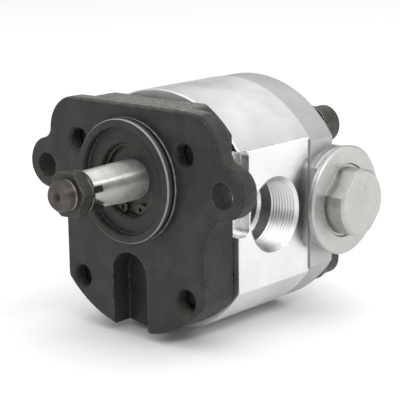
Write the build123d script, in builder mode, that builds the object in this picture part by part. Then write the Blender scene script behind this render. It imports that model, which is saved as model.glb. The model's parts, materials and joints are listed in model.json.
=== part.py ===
from build123d import *
import math
import os

# Hydraulic gear pump, external-gear type, two-hole flange mounted.
# Frame: shaft axis on Y, shaft end towards -Y, flange mounting face on y = 0,
# suction port on +X, +Z up. Millimetres.

# ---- gear pair ----
CENTRE_DISTANCE = 32.2
TEETH = 10
MODULE = 3.0
PROFILE_SHIFT = 0.45
PRESSURE_ANGLE = math.radians(20)
BACKLASH_ANGLE = 0.008
GEAR_TIP_R = 19.0
GEAR_ROOT_R = 12.6
GEAR_WIDTH = 20.8
GEAR_BORE_R = 19.35

# ---- stack along the shaft axis ----
FLANGE_T = 18.9
BODY_REAR_Y = 64.0
COVER_T = 16.0
COVER_REAR_Y = BODY_REAR_Y + COVER_T
GEAR_MID_Y = (FLANGE_T + BODY_REAR_Y) / 2
SIDE_GAP = 0.3
BLOCK_GAP = 0.2
BLOCK_T = (BODY_REAR_Y - FLANGE_T - GEAR_WIDTH) / 2 - SIDE_GAP - BLOCK_GAP
MID_Z = -CENTRE_DISTANCE / 2

# ---- front flange casting ----
FLANGE_ARC_R = 51.0
FLANGE_ARC_Z = -13.3
FLANGE_HALF_W = 38.6
FLANGE_TOP_Z = 31.0
WING_TOP_Z = 30.8
WING_T = 10.5
WING_EDGE_R = 4.0
SHOULDER_R = 15.0
SHOULDER_X = 32.3
EAR_X = 49.0
EAR_Z = 1.0
EAR_R = 10.8
EAR_HOLE_R = 5.4
PILOT_R = 25.4
PILOT_H = 5.0
PILOT_GROOVE_W = 3.2
PILOT_FRONT_LAND = 1.2
PILOT_GROOVE_R = 22.9
RECESS_R = 22.0
RECESS_FLOOR_Y = -1.75
SEAL_BORE_R = 15.0
SEAL_BORE_END_Y = 10.4
SHAFT_WELL_R = 11.0
SLOT_W = 19.5
SLOT_X = -1.6
SLOT_TOP_Z = -30.6
SLOT_DEPTH = 9.5

# ---- tie bolts and dowels ----
BOLT_X = 29.45
BOLT_Z_TOP = 13.3
BOLT_Z_LOW = -45.5
BOLT_R = 5.0
BOLT_TIP_Y = 6.2
BOLT_HOLE_R = 5.3
BOLT_HEAD_R = 8.0
BOLT_HEAD_H = 10.0
BOLT_SOCKET_AF = 8.0
WASHER_R = 9.0
WASHER_T = 1.6
TAP_PITCH = 1.5
TAP_CREST_R = 4.5
TAP_ROOT_R = 5.1
DOWEL_R = 2.5
DOWEL_LENGTH = 12.0
DOWEL_SPOTS = [(22.0, 21.2), (-22.0, -53.4)]

# ---- body and cover ----
BODY_R = 50.6
BODY_HALF_W = 41.6
COVER_R = 50.3
COVER_HALF_W = 42.4
POCKET_REAR_Y = 25.0
POCKET_X = 37.5
POCKET_TOP_Z = 13.3
POCKET_LOW_Z = -21.7
PORT_MAJOR_R = 15.0
PORT_MINOR_R = 14.1
PORT_MOUTH_R = 15.8
PORT_PITCH = 1.5
PORT_TURNS = 8
PORT_DRILL_X = 22.6
SUCTION_PASSAGE_R = 12.6
PASSAGE_R = 9.0
OUTLET_MAJOR_R = 11.1
OUTLET_MINOR_R = 10.2
OUTLET_MOUTH_R = 11.9
OUTLET_PITCH = 1.5
OUTLET_TURNS = 9
OUTLET_DRILL_X = 20.0
OUTLET_PASSAGE_R = 7.0
LINK_X = 17.0
LINK_R = 3.2
BOSS_Y = 80.0
BOSS_R = 22.6
BOSS_FACE_X = 45.5
BOSS_BACK_X = 0.0
FACE_SEAL_R = 23.2
FACE_SEAL_W = 1.9
FACE_SEAL_H = 1.5

# ---- port plug ----
PLUG_FLANGE_R = 23.3
PLUG_FLANGE_T = 2.9
PLUG_SEAL_T = 0.8
PLUG_SEAL_R = 20.6
PLUG_BOSS_R = 14.3
PLUG_BOSS_H = 8.6
PLUG_FLAT_R = 12.6
PLUG_GROOVE_R = 15.4
PLUG_GROOVE_DEPTH = 1.2
PLUG_SPIGOT_R = 13.8
PLUG_SPIGOT_L = 14.0

# ---- shafts ----
JOURNAL_R = 8.5
SEAL_LAND_R = 8.35
TAPER_SMALL_R = 7.74
TAPER_SMALL_Y = -27.2
TAPER_LARGE_Y = -3.0
NECK_R = 6.2
THREAD_R = 6.35
THREAD_ROOT_R = 5.6
THREAD_PITCH = 1.27
SHAFT_END_Y = -40.0
THREAD_START_Y = -28.6
CENTRE_DRILL_R = 2.0
NUT_FRONT_Y = -35.0
NUT_T = 5.8
NUT_AF = 17.3
SLEEVE_R = 10.0
SLEEVE_BORE_R = 8.55
KEY_WIDTH = 4.0
KEY_DISC_R = 8.0
KEY_MID_Y = -12.5
KEY_TOP_X = -9.8
KEY_DISC_X = -11.3

# ---- shaft seal ----
CLIP_Y = 0.4
CLIP_T = 1.3
CLIP_OUT_R = 15.7
CLIP_IN_R = 12.7
SEAL_FRONT_Y = 2.2
SEAL_W = 7.0
LIP_R = 8.4


def facing(y):
    """Plane facing the shaft end at depth y; its local axes are X and Z."""
    return Plane(origin=(0, y, 0), x_dir=(1, 0, 0), z_dir=(0, -1, 0))


def bolt_spots():
    return [(x, z) for x in (-BOLT_X, BOLT_X) for z in (BOLT_Z_TOP, BOLT_Z_LOW)]


def thread_profile(start, pitch, turns, low, high):
    """Vee teeth along the first coordinate, between two radii."""
    points = []
    for turn in range(turns):
        points.append((start + turn * pitch, low))
        points.append((start + (turn + 0.5) * pitch, high))
    points.append((start + turns * pitch, low))
    return points


def tooth_flank(sign, steps=9):
    """Involute flank points from the base circle to the tip, tooth on local +Y."""
    base_r = MODULE * TEETH / 2 * math.cos(PRESSURE_ANGLE)
    involute_at_pitch = math.tan(PRESSURE_ANGLE) - PRESSURE_ANGLE
    half = math.pi / (2 * TEETH) + 2 * PROFILE_SHIFT * math.tan(PRESSURE_ANGLE) / TEETH
    half = half + involute_at_pitch - BACKLASH_ANGLE
    points = []
    for step in range(steps + 1):
        radius = base_r + (GEAR_TIP_R - base_r) * step / steps
        roll = math.acos(min(1.0, base_r / radius))
        angle = half - (math.tan(roll) - roll)
        points.append((sign * radius * math.sin(angle), radius * math.cos(angle)))
    return points


def figure_eight(radius):
    with BuildSketch() as outline:
        with Locations((0, 0), (0, -CENTRE_DISTANCE)):
            Circle(radius)
    return outline.sketch


def oval(radius):
    with BuildSketch() as outline:
        with Locations((0, 0), (0, -CENTRE_DISTANCE)):
            Circle(radius)
        with Locations((0, MID_Z)):
            Rectangle(2 * radius, CENTRE_DISTANCE)
    return outline.sketch


def tooth():
    left = tooth_flank(-1)
    right = tooth_flank(1)
    inner = GEAR_ROOT_R - 1.0
    shrink = inner / math.hypot(*left[0])
    with BuildSketch() as shape:
        with BuildLine():
            Spline(*left)
            ThreePointArc(left[-1], (0, GEAR_TIP_R), right[-1])
            Spline(*reversed(right))
            Line(right[0], (right[0][0] * shrink, right[0][1] * shrink))
            Line((right[0][0] * shrink, right[0][1] * shrink), (left[0][0] * shrink, left[0][1] * shrink))
            Line((left[0][0] * shrink, left[0][1] * shrink), left[0])
        make_face()
    return shape.sketch


os.makedirs("parts", exist_ok=True)
gear_tooth = tooth()

# ---------------------------------------------------------------- front flange
with BuildPart() as front_flange:
    with BuildSketch(facing(0)) as wing:
        Rectangle(2 * SHOULDER_X, WING_TOP_Z, align=(Align.CENTER, Align.MIN))
        with Locations((-SHOULDER_X, WING_TOP_Z - SHOULDER_R), (SHOULDER_X, WING_TOP_Z - SHOULDER_R)):
            Circle(SHOULDER_R)
        with Locations((-EAR_X, EAR_Z), (EAR_X, EAR_Z)):
            Circle(EAR_R)
        for side in (-1, 1):
            Polygon(
                (0, 8), (side * EAR_X, EAR_Z + 4), (side * (EAR_X + 2.0), EAR_Z - EAR_R + 0.2),
                (side * (EAR_X - 3.0), EAR_Z - EAR_R - 0.6), (side * FLANGE_HALF_W, -20.5), (0, -20.5),
                align=None,
            )
        fillet(wing.vertices().filter_by(lambda v: abs(v.X) > 43 and v.Y > 5), 5.0)
    extrude(amount=-WING_T)
    fillet(front_flange.faces().sort_by(Axis.Y)[-1].outer_wire().edges(), WING_EDGE_R)
    with BuildSketch(facing(0)) as block:
        with Locations((0, FLANGE_ARC_Z)):
            Circle(FLANGE_ARC_R)
        with Locations((0, FLANGE_TOP_Z)):
            Rectangle(2 * FLANGE_HALF_W, 120, align=(Align.CENTER, Align.MAX), mode=Mode.INTERSECT)
        fillet(block.vertices().group_by(Axis.Y)[0], 5.0)
    extrude(amount=-FLANGE_T)
    chamfer(front_flange.faces().sort_by(Axis.Y)[0].outer_wire().edges(), 1.1)
    fillet(front_flange.faces().sort_by(Axis.Y)[-1].outer_wire().edges(), 1.0)
    # pilot spigot with its O-ring groove
    with BuildSketch(Plane.YZ):
        with BuildLine():
            Polyline(
                (0.5, 0), (-PILOT_H, 0), (-PILOT_H, PILOT_R - 0.5), (-PILOT_H + 0.5, PILOT_R),
                (-PILOT_H + PILOT_FRONT_LAND, PILOT_R), (-PILOT_H + PILOT_FRONT_LAND, PILOT_GROOVE_R),
                (-PILOT_H + PILOT_FRONT_LAND + PILOT_GROOVE_W, PILOT_GROOVE_R),
                (-PILOT_H + PILOT_FRONT_LAND + PILOT_GROOVE_W, PILOT_R), (0.5, PILOT_R), (0.5, 0),
            )
        make_face()
    revolve(axis=Axis.Y)
    # recess, seal bore with ring groove, shaft well
    with BuildSketch(Plane.YZ):
        with BuildLine():
            Polyline(
                (-PILOT_H - 1, 0), (-PILOT_H - 1, RECESS_R + 0.6), (-PILOT_H, RECESS_R + 0.6),
                (-PILOT_H + 0.6, RECESS_R), (RECESS_FLOOR_Y, RECESS_R), (RECESS_FLOOR_Y, SEAL_BORE_R + 0.7),
                (RECESS_FLOOR_Y + 0.7, SEAL_BORE_R), (CLIP_Y, SEAL_BORE_R), (CLIP_Y, CLIP_OUT_R),
                (CLIP_Y + CLIP_T, CLIP_OUT_R), (CLIP_Y + CLIP_T, SEAL_BORE_R), (SEAL_BORE_END_Y, SEAL_BORE_R),
                (SEAL_BORE_END_Y, SHAFT_WELL_R), (FLANGE_T + 1, SHAFT_WELL_R), (FLANGE_T + 1, 0),
                (-PILOT_H - 1, 0),
            )
        make_face()
    revolve(axis=Axis.Y, mode=Mode.SUBTRACT)
    # tapped tie-bolt holes, threads showing at the front
    for bolt_x, bolt_z in bolt_spots():
        with BuildSketch(Plane(origin=(bolt_x, 0, bolt_z), x_dir=(0, 1, 0), z_dir=(1, 0, 0))):
            with BuildLine():
                Polyline(
                    (-1, 0), (-1, TAP_ROOT_R + 0.4), (0, TAP_ROOT_R + 0.4),
                    *thread_profile(0.9, TAP_PITCH, 3, TAP_CREST_R, TAP_ROOT_R),
                    (BOLT_TIP_Y - 0.2, TAP_ROOT_R), (FLANGE_T + 1, TAP_ROOT_R), (FLANGE_T + 1, 0), (-1, 0),
                )
            make_face()
        revolve(axis=Axis((bolt_x, 0, bolt_z), (0, 1, 0)), mode=Mode.SUBTRACT)
    # mounting ear holes
    with BuildSketch(facing(-1)):
        with Locations((-EAR_X, 0), (EAR_X, 0)):
            Circle(EAR_HOLE_R)
    extrude(amount=-FLANGE_T - 2, mode=Mode.SUBTRACT)
    # open-ended relief slot at the foot
    with BuildSketch(facing(0)):
        with Locations((SLOT_X, SLOT_TOP_Z - SLOT_W / 2)):
            Circle(SLOT_W / 2)
            Rectangle(SLOT_W, 60, align=(Align.CENTER, Align.MAX))
    extrude(amount=-SLOT_DEPTH, mode=Mode.SUBTRACT)
    # dowel holes from the rear
    with BuildSketch(facing(FLANGE_T)):
        with Locations(*DOWEL_SPOTS):
            Circle(DOWEL_R)
    extrude(amount=DOWEL_LENGTH / 2, mode=Mode.SUBTRACT)
front_flange.part.label = "front_flange"
export_step(front_flange.part, "parts/front_flange.step")

# ---------------------------------------------------------------- pump body
with BuildPart() as pump_body:
    with BuildSketch(facing(FLANGE_T)):
        with Locations((0, MID_Z)):
            Circle(BODY_R)
            Rectangle(2 * BODY_HALF_W, 120, mode=Mode.INTERSECT)
    extrude(amount=FLANGE_T - BODY_REAR_Y)
    chamfer(pump_body.faces().sort_by(Axis.Y)[0].outer_wire().edges(), 0.5)
    chamfer(pump_body.faces().sort_by(Axis.Y)[-1].outer_wire().edges(), 0.4)
    # pockets that clear the mounting bolts behind the ears
    for side in (-1, 1):
        with BuildSketch(Plane(origin=(side * POCKET_X, 0, 0), x_dir=(0, 1, 0), z_dir=(1, 0, 0))) as pocket:
            with Locations((FLANGE_T - 5, (POCKET_TOP_Z + POCKET_LOW_Z) / 2)):
                Rectangle(
                    POCKET_REAR_Y - FLANGE_T + 5, POCKET_TOP_Z - POCKET_LOW_Z,
                    align=(Align.MIN, Align.CENTER),
                )
            fillet(pocket.vertices().group_by(Axis.X)[-1], 3.0)
        extrude(amount=side * 10, mode=Mode.SUBTRACT)
    # gear chamber
    with BuildSketch(facing(FLANGE_T - 1)):
        add(figure_eight(GEAR_BORE_R))
    extrude(amount=FLANGE_T - BODY_REAR_Y - 2, mode=Mode.SUBTRACT)
    # through holes for the tie bolts
    with BuildSketch(facing(FLANGE_T - 1)):
        with Locations(*bolt_spots()):
            Circle(BOLT_HOLE_R)
    extrude(amount=FLANGE_T - BODY_REAR_Y - 2, mode=Mode.SUBTRACT)
    # dowel holes, both ends
    for end_y, reach in ((FLANGE_T, -DOWEL_LENGTH / 2), (BODY_REAR_Y, DOWEL_LENGTH / 2)):
        with BuildSketch(facing(end_y)):
            with Locations(*DOWEL_SPOTS):
                Circle(DOWEL_R)
        extrude(amount=reach, mode=Mode.SUBTRACT)
    # face seal grooves, both ends
    for end_y, reach in ((FLANGE_T, -FACE_SEAL_H), (BODY_REAR_Y, FACE_SEAL_H)):
        with BuildSketch(facing(end_y)):
            add(oval(FACE_SEAL_R + FACE_SEAL_W / 2))
            add(oval(FACE_SEAL_R - FACE_SEAL_W / 2), mode=Mode.SUBTRACT)
        extrude(amount=reach, mode=Mode.SUBTRACT)
    # suction port on +X: tapped mouth, drilled bore, passage to the gears
    with BuildSketch(Plane(origin=(0, GEAR_MID_Y, MID_Z), x_dir=(1, 0, 0), z_dir=(0, -1, 0))):
        with BuildLine():
            Polyline(
                (BODY_HALF_W + 1, 0), (BODY_HALF_W + 1, PORT_MOUTH_R), (BODY_HALF_W, PORT_MOUTH_R),
                *thread_profile(BODY_HALF_W - 1.4, -PORT_PITCH, PORT_TURNS, PORT_MINOR_R, PORT_MAJOR_R),
                (PORT_DRILL_X, PORT_MINOR_R), (PORT_DRILL_X - 1.0, SUCTION_PASSAGE_R),
                (8, SUCTION_PASSAGE_R), (8, 0), (BODY_HALF_W + 1, 0),
            )
        make_face()
    revolve(axis=Axis((0, GEAR_MID_Y, MID_Z), (1, 0, 0)), mode=Mode.SUBTRACT)
    # delivery port on -X
    with BuildSketch(Plane(origin=(0, GEAR_MID_Y, MID_Z), x_dir=(1, 0, 0), z_dir=(0, -1, 0))):
        with BuildLine():
            Polyline(
                (-BODY_HALF_W - 1, 0), (-BODY_HALF_W - 1, OUTLET_MOUTH_R), (-BODY_HALF_W, OUTLET_MOUTH_R),
                *thread_profile(
                    -BODY_HALF_W + 1.2, OUTLET_PITCH, OUTLET_TURNS, OUTLET_MINOR_R, OUTLET_MAJOR_R,
                ),
                (-OUTLET_DRILL_X, OUTLET_MINOR_R), (-OUTLET_DRILL_X + 2.0, OUTLET_PASSAGE_R),
                (-8, OUTLET_PASSAGE_R), (-8, 0), (-BODY_HALF_W - 1, 0),
            )
        make_face()
    revolve(axis=Axis((0, GEAR_MID_Y, MID_Z), (1, 0, 0)), mode=Mode.SUBTRACT)
    # link passage from the suction bore to the rear cover
    with BuildSketch(facing(BODY_REAR_Y)):
        with Locations((LINK_X, MID_Z)):
            Circle(LINK_R)
    extrude(amount=BODY_REAR_Y - GEAR_MID_Y, mode=Mode.SUBTRACT)
pump_body.part.label = "pump_body"
export_step(pump_body.part, "parts/pump_body.step")

# ---------------------------------------------------------------- rear cover
with BuildPart() as rear_cover:
    with BuildSketch(facing(BODY_REAR_Y)):
        with Locations((0, MID_Z)):
            Circle(COVER_R)
            Rectangle(2 * COVER_HALF_W, 120, mode=Mode.INTERSECT)
    extrude(amount=-COVER_T)
    fillet(rear_cover.faces().sort_by(Axis.Y)[-1].outer_wire().edges(), 1.6)
    # horizontal port boss standing off the back of the plate
    with BuildSketch(Plane(origin=(BOSS_BACK_X, BOSS_Y, MID_Z), x_dir=(0, 1, 0), z_dir=(1, 0, 0))):
        Circle(BOSS_R)
    extrude(amount=BOSS_FACE_X - BOSS_BACK_X)
    with Locations((BOSS_BACK_X, BOSS_Y, MID_Z)):
        Sphere(BOSS_R)
    split(bisect_by=Plane(origin=(0, BODY_REAR_Y, 0), z_dir=(0, 1, 0)), keep=Keep.TOP)
    chamfer(rear_cover.faces().filter_by(Axis.X).sort_by(Axis.X)[-1].outer_wire().edges(), 0.8)
    # spot faces and through holes for the tie bolts
    with BuildSketch(facing(COVER_REAR_Y)):
        with Locations(*bolt_spots()):
            Circle(WASHER_R + 0.7)
    extrude(amount=-30, mode=Mode.SUBTRACT)
    with BuildSketch(facing(BODY_REAR_Y - 1)):
        with Locations(*bolt_spots()):
            Circle(BOLT_HOLE_R)
    extrude(amount=-COVER_T - 2, mode=Mode.SUBTRACT)
    with BuildSketch(facing(BODY_REAR_Y)):
        with Locations(*DOWEL_SPOTS):
            Circle(DOWEL_R)
    extrude(amount=-DOWEL_LENGTH / 2, mode=Mode.SUBTRACT)
    # plugged port and its passage to the body
    with BuildSketch(Plane(origin=(0, BOSS_Y, MID_Z), x_dir=(1, 0, 0), z_dir=(0, -1, 0))):
        with BuildLine():
            Polyline(
                (BOSS_FACE_X + 1, 0), (BOSS_FACE_X + 1, PORT_MOUTH_R), (BOSS_FACE_X, PORT_MOUTH_R),
                *thread_profile(BOSS_FACE_X - 1.4, -PORT_PITCH, PORT_TURNS, PORT_MINOR_R, PORT_MAJOR_R),
                (BOSS_FACE_X - 17.0, PORT_MINOR_R), (BOSS_FACE_X - 20.0, PASSAGE_R), (14, PASSAGE_R),
                (14, 0), (BOSS_FACE_X + 1, 0),
            )
        make_face()
    revolve(axis=Axis((0, BOSS_Y, MID_Z), (1, 0, 0)), mode=Mode.SUBTRACT)
    with BuildSketch(facing(BODY_REAR_Y)):
        with Locations((LINK_X, MID_Z)):
            Circle(LINK_R)
    extrude(amount=BODY_REAR_Y - BOSS_Y, mode=Mode.SUBTRACT)
rear_cover.part.label = "rear_cover"
export_step(rear_cover.part, "parts/rear_cover.step")

# ---------------------------------------------------------------- bearing blocks
FRONT_BLOCK_Y = FLANGE_T + BLOCK_GAP
REAR_BLOCK_Y = BODY_REAR_Y - BLOCK_GAP
SEAL_GROOVE_R = 16.6
SEAL_GROOVE_W = 1.8
BACKUP_W = 1.0
SEAL_GROOVE_H = 1.6


def bearing_block(outer_y, towards_gears):
    """Figure-eight block; towards_gears is +1 for the front block, -1 for the rear."""
    with BuildPart() as block:
        with BuildSketch(facing(outer_y)):
            add(figure_eight(GEAR_BORE_R - 0.05))
            with Locations((0, 0), (0, -CENTRE_DISTANCE)):
                Circle(SLEEVE_R, mode=Mode.SUBTRACT)
        extrude(amount=-towards_gears * BLOCK_T)
        # pressure seal groove on the outer face
        with BuildSketch(facing(outer_y)):
            add(figure_eight(SEAL_GROOVE_R))
            add(figure_eight(SEAL_GROOVE_R - SEAL_GROOVE_W - BACKUP_W), mode=Mode.SUBTRACT)
        extrude(amount=-towards_gears * SEAL_GROOVE_H, mode=Mode.SUBTRACT)
        # relief pockets beside the mesh on the gear face
        inner_y = outer_y + towards_gears * BLOCK_T
        with BuildSketch(facing(inner_y)):
            with Locations((8.5, MID_Z), (-8.5, MID_Z)):
                SlotOverall(9.0, 4.5, rotation=90)
        extrude(amount=towards_gears * 1.5, mode=Mode.SUBTRACT)
    return block.part


def pressure_seal(outer_y, towards_gears, outer_r, width):
    with BuildPart() as ring:
        with BuildSketch(facing(outer_y)):
            add(figure_eight(outer_r))
            add(figure_eight(outer_r - width), mode=Mode.SUBTRACT)
        extrude(amount=-towards_gears * SEAL_GROOVE_H)
    return ring.part


def oval_seal(outer_y, reach):
    with BuildPart() as ring:
        with BuildSketch(facing(outer_y)):
            add(oval(FACE_SEAL_R + FACE_SEAL_W / 2))
            add(oval(FACE_SEAL_R - FACE_SEAL_W / 2), mode=Mode.SUBTRACT)
        extrude(amount=reach)
    return ring.part


def sleeve(outer_y, towards_gears, centre_z):
    with BuildPart() as tube:
        with BuildSketch(facing(outer_y)):
            with Locations((0, centre_z)):
                Circle(SLEEVE_R)
                Circle(SLEEVE_BORE_R, mode=Mode.SUBTRACT)
        extrude(amount=-towards_gears * (BLOCK_T - 0.3))
        chamfer(tube.faces().sort_by(Axis.Y)[0].inner_wires().edges(), 0.4)
        chamfer(tube.faces().sort_by(Axis.Y)[-1].inner_wires().edges(), 0.4)
    return tube.part


block_ends = {"front": (FRONT_BLOCK_Y, 1), "rear": (REAR_BLOCK_Y, -1)}
for end, (outer_y, towards_gears) in block_ends.items():
    pieces = {
        f"{end}_bearing_block": bearing_block(outer_y, towards_gears),
        f"{end}_pressure_seal": pressure_seal(outer_y, towards_gears, SEAL_GROOVE_R, SEAL_GROOVE_W),
        f"{end}_backup_ring": pressure_seal(outer_y, towards_gears, SEAL_GROOVE_R - SEAL_GROOVE_W, BACKUP_W),
        f"{end}_drive_bearing_sleeve": sleeve(outer_y, towards_gears, 0),
        f"{end}_driven_bearing_sleeve": sleeve(outer_y, towards_gears, -CENTRE_DISTANCE),
    }
    for name, piece in pieces.items():
        piece.label = name
        export_step(piece, f"parts/{name}.step")

front_body_seal = oval_seal(FLANGE_T, -FACE_SEAL_H)
front_body_seal.label = "front_body_seal"
export_step(front_body_seal, "parts/front_body_seal.step")
rear_body_seal = oval_seal(BODY_REAR_Y, FACE_SEAL_H)
rear_body_seal.label = "rear_body_seal"
export_step(rear_body_seal, "parts/rear_body_seal.step")

# ---------------------------------------------------------------- gear shafts
GEAR_FRONT_Y = GEAR_MID_Y - GEAR_WIDTH / 2
GEAR_REAR_Y = GEAR_MID_Y + GEAR_WIDTH / 2
REAR_JOURNAL_END_Y = BODY_REAR_Y - 1.0
FRONT_JOURNAL_START_Y = FLANGE_T + 1.0

with BuildPart() as drive_gear_shaft:
    with BuildSketch(Plane.YZ):
        with BuildLine():
            Polyline(
                (SHAFT_END_Y + 3.6, 0), (SHAFT_END_Y + 3.0, CENTRE_DRILL_R * 0.5),
                (SHAFT_END_Y + 2.4, CENTRE_DRILL_R * 0.5), (SHAFT_END_Y, CENTRE_DRILL_R),
                (SHAFT_END_Y, THREAD_ROOT_R - 0.5), (SHAFT_END_Y + 0.9, THREAD_ROOT_R),
                *thread_profile(SHAFT_END_Y + 0.95, THREAD_PITCH, 8, THREAD_ROOT_R, THREAD_R),
                (THREAD_START_Y, THREAD_ROOT_R), (THREAD_START_Y, NECK_R), (TAPER_SMALL_Y, NECK_R),
                (TAPER_SMALL_Y, TAPER_SMALL_R - 0.5), (TAPER_SMALL_Y + 0.5, TAPER_SMALL_R),
                (TAPER_LARGE_Y, SEAL_LAND_R), (FRONT_JOURNAL_START_Y, SEAL_LAND_R),
                (FRONT_JOURNAL_START_Y + 0.3, JOURNAL_R), (GEAR_FRONT_Y, JOURNAL_R),
                (GEAR_FRONT_Y, GEAR_ROOT_R), (GEAR_REAR_Y, GEAR_ROOT_R), (GEAR_REAR_Y, JOURNAL_R),
                (REAR_JOURNAL_END_Y - 0.8, JOURNAL_R), (REAR_JOURNAL_END_Y, JOURNAL_R - 0.8),
                (REAR_JOURNAL_END_Y, 0), (SHAFT_END_Y + 3.6, 0),
            )
        make_face()
    revolve(axis=Axis.Y)
    with BuildSketch(facing(GEAR_FRONT_Y)):
        with PolarLocations(0, TEETH):
            add(gear_tooth)
    extrude(amount=-GEAR_WIDTH)
    # half-moon keyway on the -X side
    with BuildSketch(Plane.XY.offset(-KEY_WIDTH / 2)):
        with Locations((KEY_DISC_X, KEY_MID_Y)):
            Circle(KEY_DISC_R)
    extrude(amount=KEY_WIDTH, mode=Mode.SUBTRACT)
drive_gear_shaft.part.label = "drive_gear_shaft"
export_step(drive_gear_shaft.part, "parts/drive_gear_shaft.step")

with BuildPart() as driven_gear_shaft:
    with BuildSketch(Plane.YZ):
        with BuildLine():
            Polyline(
                (FRONT_JOURNAL_START_Y, 0), (FRONT_JOURNAL_START_Y, JOURNAL_R - 0.8),
                (FRONT_JOURNAL_START_Y + 0.8, JOURNAL_R), (GEAR_FRONT_Y, JOURNAL_R),
                (GEAR_FRONT_Y, GEAR_ROOT_R), (GEAR_REAR_Y, GEAR_ROOT_R), (GEAR_REAR_Y, JOURNAL_R),
                (REAR_JOURNAL_END_Y - 0.8, JOURNAL_R), (REAR_JOURNAL_END_Y, JOURNAL_R - 0.8),
                (REAR_JOURNAL_END_Y, 0), (FRONT_JOURNAL_START_Y, 0),
            )
        make_face()
    revolve(axis=Axis.Y)
    with BuildSketch(facing(GEAR_FRONT_Y)):
        with PolarLocations(0, TEETH, start_angle=180 / TEETH):
            add(gear_tooth)
    extrude(amount=-GEAR_WIDTH)
driven = driven_gear_shaft.part.moved(Location((0, 0, -CENTRE_DISTANCE)))
driven.label = "driven_gear_shaft"
export_step(driven, "parts/driven_gear_shaft.step")

# ---------------------------------------------------------------- coupling end fittings
with BuildPart() as woodruff_key:
    with BuildSketch(Plane.XY.offset(-KEY_WIDTH / 2)):
        with Locations((KEY_DISC_X, KEY_MID_Y)):
            Circle(KEY_DISC_R)
        with Locations((KEY_TOP_X, KEY_MID_Y)):
            Rectangle(40, 40, align=(Align.MAX, Align.CENTER), mode=Mode.SUBTRACT)
    extrude(amount=KEY_WIDTH)
woodruff_key.part.label = "woodruff_key"
export_step(woodruff_key.part, "parts/woodruff_key.step")

with BuildPart() as shaft_nut:
    with BuildSketch(facing(NUT_FRONT_Y)):
        RegularPolygon(NUT_AF / 2, 6, major_radius=False, rotation=6)
        Circle(THREAD_R + 0.05, mode=Mode.SUBTRACT)
    extrude(amount=-NUT_T)
    # turned bevels on both faces
    with BuildSketch(Plane.YZ):
        with BuildLine():
            Polyline(
                (NUT_FRONT_Y, 0), (NUT_FRONT_Y, NUT_AF / 2 + 0.1), (NUT_FRONT_Y + 0.9, NUT_AF / 2 + 1.6),
                (NUT_FRONT_Y + NUT_T - 0.6, NUT_AF / 2 + 1.6), (NUT_FRONT_Y + NUT_T, NUT_AF / 2 + 0.4),
                (NUT_FRONT_Y + NUT_T, 0), (NUT_FRONT_Y, 0),
            )
        make_face()
    revolve(axis=Axis.Y, mode=Mode.INTERSECT)
shaft_nut.part.label = "shaft_nut"
export_step(shaft_nut.part, "parts/shaft_nut.step")

TAB_RING_R = 8.7
TAB_RING_T = 1.4
TAB_INNER_R = 8.25
TAB_OUTER_R = 9.15
RING_FRONT_Y = NUT_FRONT_Y + NUT_T + 0.15
RING_REAR_Y = RING_FRONT_Y + TAB_RING_T
# both tabs lie on the +X side: first edge in degrees above +X, angle covered, and how far back they reach
NARROW_TAB = (22, 18, -23.8)
WIDE_TAB = (-9, 43, -21.0)


def bent_tab(first_edge, sweep_angle, reach_y):
    with BuildPart() as tab:
        with BuildSketch(Plane.YZ):
            with Locations((RING_FRONT_Y, TAB_INNER_R)):
                Rectangle(reach_y - RING_FRONT_Y, TAB_OUTER_R - TAB_INNER_R, align=(Align.MIN, Align.MIN))
        revolve(axis=Axis.Y, revolution_arc=sweep_angle)
    return tab.part.rotate(Axis.Y, 90 - first_edge)


with BuildPart() as wide_tab:
    add(bent_tab(*WIDE_TAB))
    # its upper edge is sheared on the slant, so that it ends in a point
    with BuildSketch(Plane.YZ):
        Polygon(
            (RING_REAR_Y, -1.9), (RING_REAR_Y + 8, -7.0), (RING_REAR_Y + 8, 1.0), (RING_REAR_Y, 1.0),
            align=None,
        )
    extrude(amount=12, mode=Mode.SUBTRACT)
with BuildPart() as tab_washer:
    with BuildSketch(facing(RING_FRONT_Y)):
        Circle(TAB_RING_R)
        Circle(THREAD_R + 0.2, mode=Mode.SUBTRACT)
    extrude(amount=-TAB_RING_T)
    add(bent_tab(*NARROW_TAB))
    add(wide_tab.part)
tab_washer.part.label = "tab_washer"
export_step(tab_washer.part, "parts/tab_washer.step")

# ---------------------------------------------------------------- shaft seal
with BuildPart() as shaft_seal_case:
    with BuildSketch(Plane.YZ):
        with BuildLine():
            Polyline(
                (SEAL_FRONT_Y, 10.4), (SEAL_FRONT_Y, SEAL_BORE_R - 0.4), (SEAL_FRONT_Y + 0.4, SEAL_BORE_R),
                (SEAL_FRONT_Y + SEAL_W, SEAL_BORE_R), (SEAL_FRONT_Y + SEAL_W, SEAL_BORE_R - 1.2),
                (SEAL_FRONT_Y + 1.2, SEAL_BORE_R - 1.2), (SEAL_FRONT_Y + 1.2, 10.4), (SEAL_FRONT_Y, 10.4),
            )
        make_face()
    revolve(axis=Axis.Y)
shaft_seal_case.part.label = "shaft_seal_case"
export_step(shaft_seal_case.part, "parts/shaft_seal_case.step")

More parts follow.
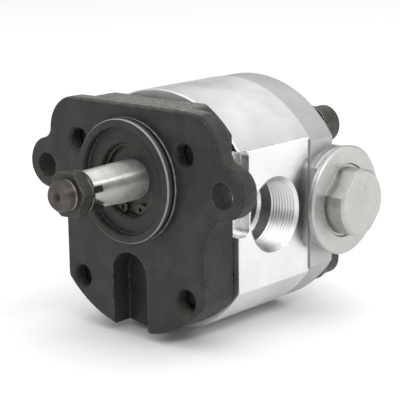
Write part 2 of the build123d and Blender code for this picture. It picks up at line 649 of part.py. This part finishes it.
with BuildPart() as shaft_seal_lip:
    with BuildSketch(Plane.YZ):
        with BuildLine():
            Polyline(
                (SEAL_FRONT_Y + 0.2, LIP_R + 0.3), (SEAL_FRONT_Y + 0.2, 10.4), (SEAL_FRONT_Y + 1.2, 10.4),
                (SEAL_FRONT_Y + 1.2, 12.6), (SEAL_FRONT_Y + 2.2, 12.6), (SEAL_FRONT_Y + 3.0, 10.6),
                (SEAL_FRONT_Y + 6.2, 10.9), (SEAL_FRONT_Y + 6.2, 9.3), (SEAL_FRONT_Y + 4.9, LIP_R),
                (SEAL_FRONT_Y + 4.5, LIP_R), (SEAL_FRONT_Y + 2.0, 9.3), (SEAL_FRONT_Y + 1.2, 9.3),
                (SEAL_FRONT_Y + 0.8, LIP_R), (SEAL_FRONT_Y + 0.4, LIP_R), (SEAL_FRONT_Y + 0.2, LIP_R + 0.3),
            )
        make_face()
    revolve(axis=Axis.Y)
shaft_seal_lip.part.label = "shaft_seal_lip"
export_step(shaft_seal_lip.part, "parts/shaft_seal_lip.step")

GARTER_R = 0.6
with BuildPart() as seal_garter_spring:
    with BuildSketch(Plane.YZ):
        with Locations((SEAL_FRONT_Y + 4.7, 10.85 + GARTER_R)):
            Circle(GARTER_R)
    revolve(axis=Axis.Y)
seal_garter_spring.part.label = "seal_garter_spring"
export_step(seal_garter_spring.part, "parts/seal_garter_spring.step")

# internal retaining ring, gap and eyes at the bottom
CLIP_EYE_R = 2.4
CLIP_EYE_X = 4.3
CLIP_EYE_Z = -11.9
with BuildPart() as seal_retaining_ring:
    with BuildSketch(facing(CLIP_Y)) as ring:
        Circle(CLIP_OUT_R - 0.05)
        with Locations((0, 0.7)):
            Circle(CLIP_IN_R + 0.6, mode=Mode.SUBTRACT)
        with Locations((0, -SEAL_BORE_R)):
            Rectangle(2 * CLIP_EYE_X, 9, mode=Mode.SUBTRACT)
        with Locations((-CLIP_EYE_X - 0.6, CLIP_EYE_Z), (CLIP_EYE_X + 0.6, CLIP_EYE_Z)):
            Circle(CLIP_EYE_R)
            Circle(1.0, mode=Mode.SUBTRACT)
    extrude(amount=-CLIP_T)
seal_retaining_ring.part.label = "seal_retaining_ring"
export_step(seal_retaining_ring.part, "parts/seal_retaining_ring.step")

PILOT_CORD_R = 1.2
with BuildPart() as pilot_oring:
    with BuildSketch(Plane.YZ):
        with Locations((-PILOT_H + PILOT_FRONT_LAND + PILOT_GROOVE_W / 2, PILOT_GROOVE_R + PILOT_CORD_R)):
            Circle(PILOT_CORD_R)
    revolve(axis=Axis.Y)
pilot_oring.part.label = "pilot_oring"
export_step(pilot_oring.part, "parts/pilot_oring.step")

# ---------------------------------------------------------------- fasteners
HEAD_SEAT_Y = COVER_REAR_Y + WASHER_T
with BuildPart() as tie_bolts:
    with BuildSketch(facing(HEAD_SEAT_Y)):
        with Locations(*bolt_spots()):
            Circle(BOLT_R)
    extrude(amount=HEAD_SEAT_Y - BOLT_TIP_Y)
    chamfer(tie_bolts.faces().filter_by(Axis.Y).group_by(Axis.Y)[0].edges(), 0.8)
    with BuildSketch(facing(HEAD_SEAT_Y)):
        with Locations(*bolt_spots()):
            Circle(BOLT_HEAD_R)
    extrude(amount=-BOLT_HEAD_H)
    chamfer(tie_bolts.faces().filter_by(Axis.Y).group_by(Axis.Y)[-1].edges(), 0.8)
    with BuildSketch(facing(HEAD_SEAT_Y + BOLT_HEAD_H)):
        with Locations(*bolt_spots()):
            RegularPolygon(BOLT_SOCKET_AF / 2, 6, major_radius=False)
    extrude(amount=5.0, mode=Mode.SUBTRACT)
tie_bolts.part.label = "tie_bolts"
export_step(tie_bolts.part, "parts/tie_bolts.step")

with BuildPart() as tie_bolt_washers:
    with BuildSketch(facing(COVER_REAR_Y)):
        with Locations(*bolt_spots()):
            Circle(WASHER_R)
            Circle(BOLT_HOLE_R, mode=Mode.SUBTRACT)
    extrude(amount=-WASHER_T)
tie_bolt_washers.part.label = "tie_bolt_washers"
export_step(tie_bolt_washers.part, "parts/tie_bolt_washers.step")

for end, end_y in (("front", FLANGE_T), ("rear", BODY_REAR_Y)):
    with BuildPart() as dowels:
        with BuildSketch(facing(end_y - DOWEL_LENGTH / 2)):
            with Locations(*DOWEL_SPOTS):
                Circle(DOWEL_R)
        extrude(amount=-DOWEL_LENGTH)
        chamfer(dowels.edges().filter_by(GeomType.CIRCLE), 0.4)
    dowels.part.label = f"{end}_locating_dowels"
    export_step(dowels.part, f"parts/{end}_locating_dowels.step")

# ---------------------------------------------------------------- port plug
PLUG_X = BOSS_FACE_X + PLUG_SEAL_T
PLUG_FACE_X = PLUG_X + PLUG_FLANGE_T
PLUG_TOP_X = PLUG_FACE_X + PLUG_BOSS_H
plug_axis = Axis((0, BOSS_Y, MID_Z), (1, 0, 0))
plug_section = Plane(origin=(0, BOSS_Y, MID_Z), x_dir=(1, 0, 0), z_dir=(0, -1, 0))
with BuildPart() as port_plug:
    with BuildSketch(plug_section):
        with BuildLine():
            Polyline(
                (PLUG_X - PLUG_SPIGOT_L, 0), (PLUG_X - PLUG_SPIGOT_L, PLUG_SPIGOT_R - 1.0),
                (PLUG_X - PLUG_SPIGOT_L + 1.0, PLUG_SPIGOT_R), (PLUG_X, PLUG_SPIGOT_R),
                (PLUG_X, PLUG_FLANGE_R - 0.4), (PLUG_X + 0.4, PLUG_FLANGE_R),
                (PLUG_FACE_X - 0.6, PLUG_FLANGE_R), (PLUG_FACE_X, PLUG_FLANGE_R - 0.6),
                (PLUG_FACE_X, PLUG_GROOVE_R + 0.4), (PLUG_FACE_X - PLUG_GROOVE_DEPTH, PLUG_GROOVE_R),
                (PLUG_FACE_X - PLUG_GROOVE_DEPTH, PLUG_BOSS_R), (PLUG_TOP_X - 1.0, PLUG_BOSS_R),
                (PLUG_TOP_X, PLUG_BOSS_R - 1.0), (PLUG_TOP_X, 0), (PLUG_X - PLUG_SPIGOT_L, 0),
            )
        make_face()
    revolve(axis=plug_axis)
    # two wrench flats across the boss, down to the floor of the groove round it
    flats_foot = (PLUG_FACE_X - PLUG_GROOVE_DEPTH, BOSS_Y, MID_Z)
    with BuildSketch(Plane(origin=flats_foot, x_dir=(0, 1, 0), z_dir=(1, 0, 0))):
        for side in (-1, 1):
            with Locations(Location((0, 0), 45)):
                with Locations((0, side * PLUG_FLAT_R)):
                    Rectangle(40, 10, align=(Align.CENTER, Align.MIN if side > 0 else Align.MAX))
        Circle(PLUG_GROOVE_R, mode=Mode.INTERSECT)
    extrude(amount=PLUG_BOSS_H + PLUG_GROOVE_DEPTH + 1, mode=Mode.SUBTRACT)
port_plug.part.label = "port_plug"
export_step(port_plug.part, "parts/port_plug.step")

with BuildPart() as port_plug_seal:
    with BuildSketch(Plane(origin=(BOSS_FACE_X, BOSS_Y, MID_Z), x_dir=(0, 1, 0), z_dir=(1, 0, 0))):
        Circle(PLUG_SEAL_R)
        Circle(PORT_MOUTH_R + 0.4, mode=Mode.SUBTRACT)
    extrude(amount=PLUG_SEAL_T)
port_plug_seal.part.label = "port_plug_seal"
export_step(port_plug_seal.part, "parts/port_plug_seal.step")
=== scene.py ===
import json
import math

import bpy
from mathutils import Matrix, Vector


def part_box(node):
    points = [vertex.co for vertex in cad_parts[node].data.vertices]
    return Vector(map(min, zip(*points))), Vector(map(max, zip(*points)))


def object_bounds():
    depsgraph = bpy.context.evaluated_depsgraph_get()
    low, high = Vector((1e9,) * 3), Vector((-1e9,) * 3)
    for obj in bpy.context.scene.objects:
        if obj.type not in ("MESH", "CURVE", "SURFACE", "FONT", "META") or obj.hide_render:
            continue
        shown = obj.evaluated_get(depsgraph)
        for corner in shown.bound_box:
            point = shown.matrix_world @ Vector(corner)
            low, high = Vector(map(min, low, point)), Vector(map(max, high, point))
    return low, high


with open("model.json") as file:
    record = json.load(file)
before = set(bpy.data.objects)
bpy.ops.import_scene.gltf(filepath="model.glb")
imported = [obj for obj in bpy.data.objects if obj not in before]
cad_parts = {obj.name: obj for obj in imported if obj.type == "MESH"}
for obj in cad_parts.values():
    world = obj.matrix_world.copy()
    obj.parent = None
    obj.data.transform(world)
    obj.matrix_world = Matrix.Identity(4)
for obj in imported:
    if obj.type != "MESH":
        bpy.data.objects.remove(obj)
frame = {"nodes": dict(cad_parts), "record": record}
cad_low, cad_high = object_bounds()
nodes = frame["nodes"]
MM = 0.001

# how squarely a face has to look along an axis to count as lying across it
SQUARE_ON = (0.95, 0.99)
# where details lie, in metres, each as the start and end of a short fade
FLANGE_TOP_Z = (0.0295, 0.0308)
RIM_INNER_R = (0.0250, 0.0252)
RIM_OUTER_R = (0.0256, 0.0255)
AHEAD_OF_FACE_Y = (-0.0001, -0.0003)
THREADED_END_Y = (-0.0345, -0.0355)
# sizes and brightness of the studio
FLOOR_SIZE = 6.0
SENSOR_MM = 36.0
NEAR_CLIP = 0.01
WALL_GREYS = ((0.0, 0.50), (0.25, 0.52), (0.55, 0.95), (1.0, 1.20))


# ------------------------------------------------------------------ node helpers
class Tree:
    """A material's node tree, with short calls for the nodes used here."""

    def __init__(self, name):
        self.material = bpy.data.materials.new(name)
        self.material.use_nodes = True
        self.nodes = self.material.node_tree.nodes
        self.links = self.material.node_tree.links
        self.nodes.clear()
        self.shader = self.nodes.new("ShaderNodeBsdfPrincipled")
        out = self.nodes.new("ShaderNodeOutputMaterial")
        self.links.new(self.shader.outputs["BSDF"], out.inputs["Surface"])
        self.coord = self.nodes.new("ShaderNodeTexCoord")

    def set(self, node, key, value):
        socket = node.inputs[key]
        if isinstance(value, bpy.types.NodeSocket):
            self.links.new(value, socket)
        else:
            socket.default_value = value

    def stretched(self, scale):
        mapping = self.nodes.new("ShaderNodeMapping")
        self.links.new(self.coord.outputs["Object"], mapping.inputs["Vector"])
        mapping.inputs["Scale"].default_value = scale
        return mapping.outputs["Vector"]

    def noise(self, size_mm, detail=4.0, rough=0.55, stretch=(1, 1, 1)):
        node = self.nodes.new("ShaderNodeTexNoise")
        self.links.new(self.stretched(stretch), node.inputs["Vector"])
        node.inputs["Scale"].default_value = 1.0 / (size_mm * MM)
        node.inputs["Detail"].default_value = detail
        node.inputs["Roughness"].default_value = rough
        return node.outputs["Fac"]

    def cells(self, size_mm):
        node = self.nodes.new("ShaderNodeTexVoronoi")
        self.links.new(self.stretched((1, 1, 1)), node.inputs["Vector"])
        node.inputs["Scale"].default_value = 1.0 / (size_mm * MM)
        return node.outputs["Distance"]

    def math(self, operation, a, b=0.0):
        node = self.nodes.new("ShaderNodeMath")
        node.operation = operation
        self.set(node, 0, a)
        self.set(node, 1, b)
        return node.outputs[0]

    def ramp(self, value, low, high, out_low=0.0, out_high=1.0):
        """A smooth step of value, from out_low at low to out_high at high, whichever of the two is larger."""
        if low > high:
            low, high, out_low, out_high = high, low, out_high, out_low
        node = self.nodes.new("ShaderNodeMapRange")
        node.interpolation_type = "SMOOTHSTEP"
        node.clamp = True
        limits = {"From Min": low, "From Max": high, "To Min": out_low, "To Max": out_high}
        for key, number in limits.items():
            node.inputs[key].default_value = number
        self.set(node, "Value", value)
        return node.outputs["Result"]

    def mix(self, factor, first, second):
        node = self.nodes.new("ShaderNodeMix")
        node.data_type = "RGBA"
        self.set(node, 0, factor)
        self.set(node, 6, first)
        self.set(node, 7, second)
        return node.outputs[2]

    def axis(self, source, index):
        node = self.nodes.new("ShaderNodeSeparateXYZ")
        self.links.new(source, node.inputs[0])
        return node.outputs[index]

    def place(self, index):
        return self.axis(self.coord.outputs["Object"], index)

    def squared(self, index):
        return self.math("MULTIPLY", self.place(index), self.place(index))

    def facing(self, index):
        return self.axis(self.coord.outputs["Normal"], index)

    def soft(self, radius_mm):
        """The normal of the surface with its sharp edges rounded to that radius."""
        bevel = self.nodes.new("ShaderNodeBevel")
        bevel.samples = 6
        bevel.inputs["Radius"].default_value = radius_mm * MM
        return bevel.outputs["Normal"]

    def edges(self, radius_mm):
        """1 on sharp edges, 0 on flats: how far the bevelled normal leans from the true one."""
        geometry = self.nodes.new("ShaderNodeNewGeometry")
        dot = self.nodes.new("ShaderNodeVectorMath")
        dot.operation = "DOT_PRODUCT"
        self.links.new(self.soft(radius_mm), dot.inputs[0])
        self.links.new(geometry.outputs["Normal"], dot.inputs[1])
        return self.ramp(dot.outputs["Value"], 0.97, 0.72, 0.0, 1.0)

    def rings(self, centre, axis, pitch_mm):
        """Turning marks: a wave of the radius about an axis through centre."""
        first, second = [i for i in range(3) if i != axis]
        a = self.math("SUBTRACT", self.place(first), centre[first])
        b = self.math("SUBTRACT", self.place(second), centre[second])
        squared = self.math("ADD", self.math("MULTIPLY", a, a), self.math("MULTIPLY", b, b))
        radius = self.math("SQRT", squared)
        return self.math("SINE", self.math("MULTIPLY", radius, 2 * math.pi / (pitch_mm * MM)))

    def bump(self, height, strength, depth_mm, below=None):
        node = self.nodes.new("ShaderNodeBump")
        node.inputs["Strength"].default_value = strength
        node.inputs["Distance"].default_value = depth_mm * MM
        self.set(node, "Height", height)
        if below is not None:
            self.links.new(below, node.inputs["Normal"])
        return node.outputs["Normal"]

    def finish(self, colour, metallic, roughness, normal=None, **fixed):
        self.set(self.shader, "Base Color", colour)
        self.set(self.shader, "Metallic", metallic)
        self.set(self.shader, "Roughness", roughness)
        if normal is not None:
            self.links.new(normal, self.shader.inputs["Normal"])
        for key, value in fixed.items():
            self.shader.inputs[key.replace("_", " ")].default_value = value
        return self.material


def rgb(r, g, b):
    return (r, g, b, 1.0)


# ------------------------------------------------------------------ materials
def flange_paint():
    """Black paint on an iron casting: rough sides, ground front face, worn and rust-tinged rims."""
    t = Tree("flange_paint")
    front = t.ramp(t.math("MULTIPLY", t.facing(1), -1.0), *SQUARE_ON)
    skyward = t.ramp(t.facing(2), 0.55, 0.9)
    mottle = t.noise(9, 5)
    fine = t.noise(1.1, 4, 0.7)
    grain = t.noise(0.5, 2)
    paint = t.mix(t.ramp(mottle, 0.35, 0.7), rgb(0.020, 0.020, 0.018), rgb(0.032, 0.032, 0.029))
    paint = t.mix(t.ramp(fine, 0.55, 0.75, 0.0, 0.5), paint, rgb(0.062, 0.062, 0.054))
    sides = t.math("SUBTRACT", 1.0, front)
    # painted highlight: light specks on the grain of the rough cast sides, standing in for light caught by
    # the grain
    grains = t.ramp(t.noise(0.9, 5, 0.8), 0.54, 0.66)
    painted_grain_highlight = t.math("MULTIPLY", grains, t.ramp(t.noise(5, 3), 0.38, 0.58, 0.25, 1.0))
    paint = t.mix(t.math("MULTIPLY", painted_grain_highlight, t.math("MULTIPLY", sides, 0.55)), paint, rgb(0.16, 0.155, 0.14))
    dust = t.math("MULTIPLY", t.ramp(t.noise(0.7, 4, 0.8), 0.63, 0.70), t.ramp(t.noise(11, 3), 0.50, 0.62))
    paint = t.mix(t.math("MULTIPLY", dust, 0.5), paint, rgb(0.20, 0.195, 0.18))
    rust = t.mix(t.noise(3), rgb(0.20, 0.105, 0.05), rgb(0.10, 0.06, 0.035))
    bare = t.mix(t.noise(2), rgb(0.20, 0.195, 0.185), rgb(0.34, 0.335, 0.32))
    edge = t.edges(0.9)
    worn = t.math("MULTIPLY", edge, t.ramp(t.noise(3.5, 6, 0.7), 0.42, 0.62))
    top_worn = t.math("MULTIPLY", skyward, t.ramp(t.noise(1.6, 6, 0.8), 0.34, 0.66, 0.15, 0.85))
    top_worn = t.math("MULTIPLY", top_worn, t.ramp(t.place(2), *FLANGE_TOP_Z))
    rusty = t.math("MULTIPLY", t.math("MAXIMUM", edge, skyward), t.ramp(t.noise(7, 5, 0.7), 0.54, 0.70))
    colour = t.mix(rusty, paint, rust)
    colour = t.mix(t.math("MAXIMUM", t.math("MULTIPLY", worn, 0.7), top_worn), colour, bare)
    # painted highlight: the lands of the register, either side of its O-ring groove, are painted light grey
    # where their rims catch the light
    from_axis = t.math("SQRT", t.math("ADD", t.squared(0), t.squared(2)))
    land_highlight = t.math("MULTIPLY", t.ramp(from_axis, *RIM_INNER_R), t.ramp(from_axis, *RIM_OUTER_R))
    land_highlight = t.math("MULTIPLY", land_highlight, t.ramp(t.place(1), *AHEAD_OF_FACE_Y))
    land_highlight = t.math("MULTIPLY", land_highlight, sides)
    colour = t.mix(t.math("MULTIPLY", land_highlight, 0.8), colour, rgb(0.42, 0.42, 0.40))
    rough = t.ramp(fine, 0.3, 0.7, 0.40, 0.62)
    rough_face = t.ramp(t.noise(5), 0.3, 0.7, 0.34, 0.48)
    blend = t.nodes.new("ShaderNodeMix")
    t.set(blend, 0, front)
    t.set(blend, 2, rough)
    t.set(blend, 3, rough_face)
    cast = t.math("MULTIPLY", t.math("ADD", fine, t.math("MULTIPLY", grain, 0.5)), sides)
    normal = t.bump(cast, 0.85, 0.7, t.soft(1.1))
    normal = t.bump(t.noise(0.35, 2), 0.12, 0.1, normal)
    metallic = t.math("MULTIPLY", top_worn, 0.5)
    return t.finish(colour, metallic, blend.outputs[0], normal, Specular_IOR_Level=0.3)


def aluminium(name, base, dull, streak_axis, ring_centre):
    """Machined aluminium: drawn streaks on the sides, turning marks on the end faces."""
    t = Tree(name)
    stretch = [1.0, 1.0, 1.0]
    stretch[streak_axis] = 0.04
    streaks = t.noise(0.8, 3, 0.6, stretch)
    cloud = t.noise(14, 4)
    end = t.ramp(t.math("ABSOLUTE", t.facing(1)), *SQUARE_ON)
    light = rgb(*[min(1.0, c * 1.10) for c in base])
    colour = t.mix(t.ramp(cloud, 0.3, 0.7), rgb(*base), light)
    colour = t.mix(t.ramp(streaks, 0.45, 0.75, 0.0, 0.25), colour, rgb(*[c * 0.84 for c in base]))
    edge = t.edges(0.5)
    # painted highlight: sharp edges are painted lighter, standing in for light glinting on them
    colour = t.mix(t.math("MULTIPLY", edge, 0.5), colour, rgb(*[min(1.0, c * 1.25) for c in base]))
    rings = t.rings(ring_centre, 1, 0.5)
    turned = t.math("MULTIPLY", rings, end)
    height = t.math("ADD", t.math("MULTIPLY", streaks, 0.6), t.math("MULTIPLY", turned, 0.15))
    normal = t.bump(height, 0.20, 0.12, t.soft(0.45))
    normal = t.bump(t.noise(0.4, 2), 0.10, 0.06, normal)
    rough = t.ramp(t.math("ADD", cloud, t.math("MULTIPLY", streaks, 0.4)), 0.4, 0.9, dull - 0.07, dull + 0.07)
    return t.finish(colour, 1.0, rough, normal)


def ground_steel():
    """Bright ground shaft with fine lines round it; the threaded end is brown with rust."""
    t = Tree("ground_steel")
    lines = t.noise(0.35, 3, 0.6, (0.08, 1, 0.08))
    stains = t.noise(6, 5, 0.7)
    colour = t.mix(t.ramp(stains, 0.35, 0.7), rgb(0.60, 0.60, 0.58), rgb(0.72, 0.72, 0.69))
    dots = t.ramp(t.cells(1.9), 0.16, 0.05, 0.0, 0.6)
    colour = t.mix(t.math("MULTIPLY", dots, t.ramp(t.noise(9), 0.5, 0.6)), colour, rgb(0.22, 0.21, 0.19))
    thread_end = t.ramp(t.place(1), *THREADED_END_Y)
    brown = t.mix(t.noise(1.6, 6, 0.7), rgb(0.028, 0.020, 0.016), rgb(0.13, 0.095, 0.075))
    colour = t.mix(t.math("MULTIPLY", thread_end, 0.85), colour, brown)
    rough = t.ramp(stains, 0.3, 0.7, 0.38, 0.46)
    rough = t.math("ADD", rough, t.math("MULTIPLY", thread_end, 0.22))
    normal = t.bump(lines, 0.10, 0.05, t.soft(0.12))
    normal = t.bump(t.math("MULTIPLY", t.noise(0.7, 4), thread_end), 0.4, 0.2, normal)
    tangent = t.nodes.new("ShaderNodeTangent")
    tangent.direction_type = "RADIAL"
    tangent.axis = "Y"
    t.links.new(tangent.outputs["Tangent"], t.shader.inputs["Tangent"])
    return t.finish(colour, 1.0, rough, normal, Anisotropic=0.9, Anisotropic_Rotation=0.25)


def black_steel():
    """Black-oxide fasteners with rubbed edges and a little oil sheen."""
    t = Tree("black_steel")
    cloud = t.noise(3, 5, 0.7)
    colour = t.mix(t.ramp(cloud, 0.3, 0.7), rgb(0.020, 0.021, 0.017), rgb(0.048, 0.048, 0.038))
    worn = t.math("MULTIPLY", t.edges(0.35), t.ramp(t.noise(1.4, 5, 0.7), 0.35, 0.6))
    colour = t.mix(worn, colour, rgb(0.42, 0.42, 0.40))
    rough = t.ramp(cloud, 0.3, 0.7, 0.34, 0.52)
    metallic = t.math("ADD", 0.35, t.math("MULTIPLY", worn, 0.6))
    return t.finish(colour, metallic, rough, t.bump(t.noise(0.5, 4), 0.2, 0.12, t.soft(0.35)))


def spring_steel():
    """Dark oiled spring steel with bright sheared edges."""
    t = Tree("spring_steel")
    cloud = t.noise(2.4, 5, 0.7)
    colour = t.mix(t.ramp(cloud, 0.35, 0.65), rgb(0.035, 0.035, 0.030), rgb(0.085, 0.085, 0.075))
    colour = t.mix(t.edges(0.4), colour, rgb(0.62, 0.62, 0.59))
    rough = t.ramp(cloud, 0.3, 0.7, 0.32, 0.48)
    return t.finish(colour, 0.8, rough, t.bump(t.noise(0.6, 4), 0.2, 0.1, t.soft(0.3)))


def plug_metal():
    """Turned light alloy plug: rings on its faces, dark pits, slightly greenish grey."""
    t = Tree("plug_metal")
    low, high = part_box("port_plug")
    centre = (low + high) / 2
    cloud = t.noise(10, 4)
    colour = t.mix(t.ramp(cloud, 0.3, 0.7), rgb(0.42, 0.425, 0.41), rgb(0.50, 0.505, 0.49))
    pits = t.ramp(t.cells(5.0), 0.12, 0.05, 0.0, 0.7)
    colour = t.mix(pits, colour, rgb(0.20, 0.20, 0.18))
    face = t.ramp(t.facing(0), *SQUARE_ON)
    rings = t.math("MULTIPLY", t.rings(centre, 0, 0.45), face)
    # painted highlight: the edges and rims are painted near white where they catch the light
    colour = t.mix(t.math("MULTIPLY", t.edges(0.4), 0.6), colour, rgb(0.85, 0.85, 0.82))
    normal = t.bump(t.math("ADD", t.math("MULTIPLY", rings, 0.12), t.noise(0.8, 3)), 0.16, 0.09, t.soft(0.3))
    return t.finish(colour, 0.95, t.ramp(cloud, 0.3, 0.7, 0.36, 0.48), normal)


def black_rubber():
    t = Tree("black_rubber")
    cloud = t.noise(4, 4)
    colour = t.mix(cloud, rgb(0.010, 0.010, 0.011), rgb(0.028, 0.028, 0.029))
    return t.finish(colour, 0.0, t.ramp(cloud, 0.3, 0.7, 0.42, 0.6), t.bump(t.noise(0.6, 3), 0.15, 0.08))


def white_plastic():
    t = Tree("white_plastic")
    cloud = t.noise(5, 4)
    colour = t.mix(cloud, rgb(0.62, 0.61, 0.56), rgb(0.74, 0.73, 0.69))
    return t.finish(colour, 0.0, t.ramp(cloud, 0.3, 0.7, 0.4, 0.55), t.bump(t.noise(0.7, 3), 0.1, 0.05))


def bearing_bronze():
    t = Tree("bearing_bronze")
    cloud = t.noise(3, 5)
    colour = t.mix(cloud, rgb(0.42, 0.25, 0.10), rgb(0.62, 0.42, 0.20))
    return t.finish(colour, 1.0, t.ramp(cloud, 0.3, 0.7, 0.28, 0.42), t.bump(t.noise(0.5, 3), 0.12, 0.05))


mid_z = (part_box("pump_body")[0].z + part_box("pump_body")[1].z) / 2
face_centre = (0.0, 0.0, mid_z)
finishes = {
    "flange_paint": flange_paint(),
    "body_aluminium": aluminium("body_aluminium", (0.68, 0.68, 0.685), 0.32, 1, face_centre),
    "cover_aluminium": aluminium("cover_aluminium", (0.44, 0.44, 0.44), 0.48, 1, face_centre),
    "plug_metal": plug_metal(),
    "ground_steel": ground_steel(),
    "black_steel": black_steel(),
    "spring_steel": spring_steel(),
    "black_rubber": black_rubber(),
    "white_plastic": white_plastic(),
    "bearing_bronze": bearing_bronze(),
}
for entry in frame["record"]["subparts"]:
    mesh = nodes[entry["node"]].data
    mesh.materials.clear()
    mesh.materials.append(finishes[entry["material_slot"]])


# ------------------------------------------------------------------ floor, light and camera
def floor_material():
    t = Tree("studio_floor")
    cloud = t.noise(120, 3)
    colour = t.mix(cloud, rgb(0.90, 0.90, 0.895), rgb(0.94, 0.94, 0.935))
    return t.finish(colour, 0.0, 0.7, t.bump(t.noise(3, 2), 0.03, 0.1))


bpy.ops.mesh.primitive_plane_add(size=FLOOR_SIZE, location=(0, 0, cad_low.z))
floor = bpy.context.object
floor.name = "floor"
floor.data.materials.append(floor_material())

world = bpy.data.worlds.new("studio")
bpy.context.scene.world = world
world.use_nodes = True
sky = world.node_tree.nodes
sky_links = world.node_tree.links
backdrop = sky["Background"]
# the walls of the studio are grey at eye level and brighter towards the ceiling
direction = sky.new("ShaderNodeTexCoord")
split = sky.new("ShaderNodeSeparateXYZ")
sky_links.new(direction.outputs["Generated"], split.inputs[0])
walls = sky.new("ShaderNodeValToRGB")
sky_links.new(split.outputs["Z"], walls.inputs["Fac"])
for number, (height, grey) in enumerate(WALL_GREYS):
    stop = walls.color_ramp.elements[number] if number < 2 else walls.color_ramp.elements.new(height)
    stop.position = height
    stop.color = rgb(grey, grey, grey)
sky_links.new(walls.outputs["Color"], backdrop.inputs["Color"])
backdrop.inputs["Strength"].default_value = 1.0
bpy.context.scene.view_settings.view_transform = "Standard"


def softbox(name, place, target, width, height, power, colour=(1.0, 1.0, 1.0)):
    light = bpy.data.lights.new(name, "AREA")
    light.shape = "RECTANGLE"
    light.size = width
    light.size_y = height
    light.energy = power
    light.color = colour
    lamp = bpy.data.objects.new(name, light)
    lamp.location = place
    lamp.rotation_euler = (Vector(target) - Vector(place)).to_track_quat("-Z", "Y").to_euler()
    bpy.context.scene.collection.objects.link(lamp)


middle = (cad_low + cad_high) / 2
softbox("ceiling", (0.0, 0.2, 1.2), middle, 1.6, 1.6, 5.0, (0.99, 1.0, 0.97))
softbox("side_strip", (0.80, -0.15, 0.72), middle, 1.3, 0.08, 4.2)
softbox("low_strip", (0.62, 0.66, 0.06), middle, 0.10, 0.07, 0.5)

# the camera stands to the right of the shaft end and a little above it
AZIMUTH = math.radians(41.93)
ELEVATION = math.radians(13.13)
ROLL = math.radians(-0.90)
PLACE = Vector((396.8, -399.7, 122.4)) * MM
FOCAL_MM = 128.7
right = Vector((math.cos(AZIMUTH), math.sin(AZIMUTH), 0.0))
back = Vector((
    math.sin(AZIMUTH) * math.cos(ELEVATION),
    -math.cos(AZIMUTH) * math.cos(ELEVATION),
    math.sin(ELEVATION),
))
up = back.cross(right)
side = right * math.cos(ROLL) + up * math.sin(ROLL)
head = up * math.cos(ROLL) - right * math.sin(ROLL)
camera_data = bpy.data.cameras.new("camera")
camera_data.lens = FOCAL_MM
camera_data.sensor_width = SENSOR_MM
camera_data.clip_start = NEAR_CLIP
camera = bpy.data.objects.new("camera", camera_data)
camera.matrix_world = Matrix.Translation(PLACE) @ Matrix((side, head, back)).transposed().to_4x4()
bpy.context.scene.collection.objects.link(camera)
bpy.context.scene.camera = camera
